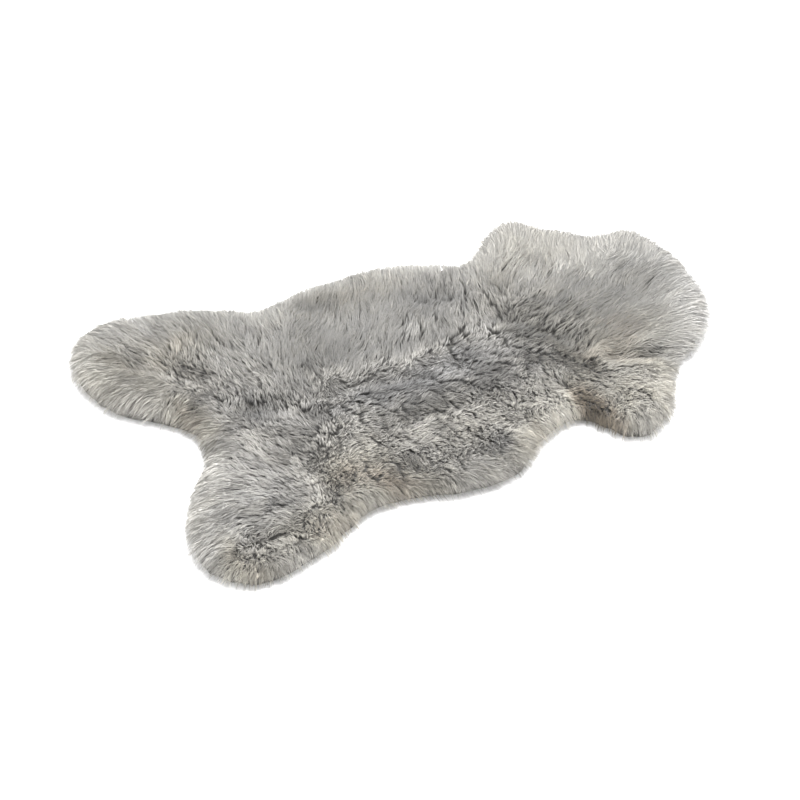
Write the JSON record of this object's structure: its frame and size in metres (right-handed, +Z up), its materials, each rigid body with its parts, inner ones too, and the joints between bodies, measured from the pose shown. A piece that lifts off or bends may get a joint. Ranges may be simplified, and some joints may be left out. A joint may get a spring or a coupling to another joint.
{
  "type": "sheepskin rug",
  "caption": "Free-form pelt rug lying flat: a tanned hide with long, lumpy wool pile, in the outline of legs, flanks and neck.",
  "frame": {"origin": "on the floor, under the middle of the rug's bounding box", "axes": "+X along the spine from the tail notch to the neck, +Y to the animal's left side, +Z up from the hide's underside through the wool"},
  "size_m": [1.0539, 0.6563, 0.0568],
  "materials": {
    "suede": "tanned and buffed, undyed",
    "wool": "long washed wool pile, undyed silver grey"
  },
  "bodies": {
    "root": {"hide": "suede", "fleece": "wool"}
  },
  "joints": []
}
